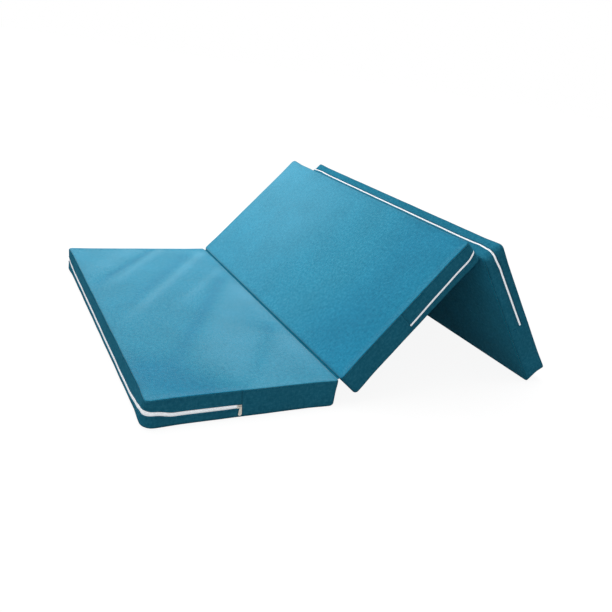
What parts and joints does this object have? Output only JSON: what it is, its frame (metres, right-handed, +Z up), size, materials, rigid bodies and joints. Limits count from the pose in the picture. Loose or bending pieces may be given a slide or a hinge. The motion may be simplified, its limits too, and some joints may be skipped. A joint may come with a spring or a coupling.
{
  "type": "folding mattress",
  "caption": "Folding guest mattress of foam panels in zipped cloth covers, joined by cloth webs so that it lies flat, props up or folds into a stack.",
  "frame": {"origin": "on the floor, in the middle of the folded mattress's footprint", "axes": "+X from the flat panel towards the propped ones, +Y across the mattress away from the pictured side, +Z up"},
  "size_m": [1.5841, 1.4006, 0.5686],
  "materials": {
    "cover_cloth": "teal blue linen weave",
    "side_cloth": "teal blue linen weave, side bands",
    "web_cloth": "teal blue web cloth",
    "foam": "cream polyurethane foam",
    "zipper_white": "white woven tape and nylon coil",
    "zipper_metal": "dull nickel"
  },
  "bodies": {
    "panel_1": {"panel_1_foam_core": "foam", "panel_1_top_cloth": "cover_cloth", "panel_1_bottom_cloth": "cover_cloth", "panel_1_plain_band": "side_cloth", "panel_1_upper_zip_band": "side_cloth", "panel_1_lower_zip_band": "side_cloth", "panel_1_upper_zip_tape": "zipper_white", "panel_1_lower_zip_tape": "zipper_white", "fold_1_web_on_panel_1": "web_cloth"},
    "panel_2": {"panel_2_foam_core": "foam", "panel_2_top_cloth": "cover_cloth", "panel_2_bottom_cloth": "cover_cloth", "panel_2_plain_band": "side_cloth", "panel_2_upper_zip_band": "side_cloth", "panel_2_lower_zip_band": "side_cloth", "panel_2_upper_zip_tape": "zipper_white", "panel_2_lower_zip_tape": "zipper_white", "fold_1_web_on_panel_2": "web_cloth", "fold_2_web_on_panel_2": "web_cloth"},
    "panel_3": {"panel_3_foam_core": "foam", "panel_3_top_cloth": "cover_cloth", "panel_3_bottom_cloth": "cover_cloth", "panel_3_plain_band": "side_cloth", "panel_3_upper_zip_band": "side_cloth", "panel_3_lower_zip_band": "side_cloth", "panel_3_upper_zip_tape": "zipper_white", "panel_3_lower_zip_tape": "zipper_white", "fold_2_web_on_panel_3": "web_cloth"},
    "slider_1": {"panel_1_zip_slider": "zipper_metal"},
    "pull_1": {"panel_1_zip_pull": "zipper_metal"},
    "slider_2": {"panel_2_zip_slider": "zipper_metal"},
    "pull_2": {"panel_2_zip_pull": "zipper_metal"},
    "slider_3": {"panel_3_zip_slider": "zipper_metal"},
    "pull_3": {"panel_3_zip_pull": "zipper_metal"}
  },
  "joints": [
    {"name": "fold_1", "type": "hinge", "parent": "panel_1", "child": "panel_2", "pos_m": [-0.15705, 0, 0.0973], "axis": [0, -1, 0], "range_deg": [-48.5, 131.5]},
    {"name": "fold_2", "type": "hinge", "parent": "panel_2", "child": "panel_3", "pos_m": [0.34104, 0, 0.50847], "axis": [0, 1, 0], "range_deg": [-102.3, 77.6]},
    {"name": "zip_1_slide", "type": "slide", "parent": "panel_1", "child": "slider_1", "axis": [-1, 0, 0], "range_m": [0, 0.158]},
    {"name": "zip_2_slide", "type": "slide", "parent": "panel_2", "child": "slider_2", "axis": [0.6626, 0, 0.749], "range_m": [0, 0.2]},
    {"name": "zip_3_slide", "type": "slide", "parent": "panel_3", "child": "slider_3", "axis": [-0.5896, 0, 0.8077], "range_m": [0, 0.226]},
    {"name": "pull_1_swing", "type": "hinge", "parent": "slider_1", "child": "pull_1", "pos_m": [-0.49585, -0.6983, 0.04], "axis": [0, -1, 0], "range_deg": [-38, 80]},
    {"name": "pull_2_swing", "type": "hinge", "parent": "slider_2", "child": "pull_2", "pos_m": [0.08477, 0.6983, 0.27963], "axis": [0, 1, 0], "range_deg": [-86.5, 31.5]},
    {"name": "pull_3_swing", "type": "hinge", "parent": "slider_3", "child": "pull_3", "pos_m": [0.60464, 0.6983, 0.24627], "axis": [0, -1, 0], "range_deg": [-91.8, 26.1]}
  ]
}
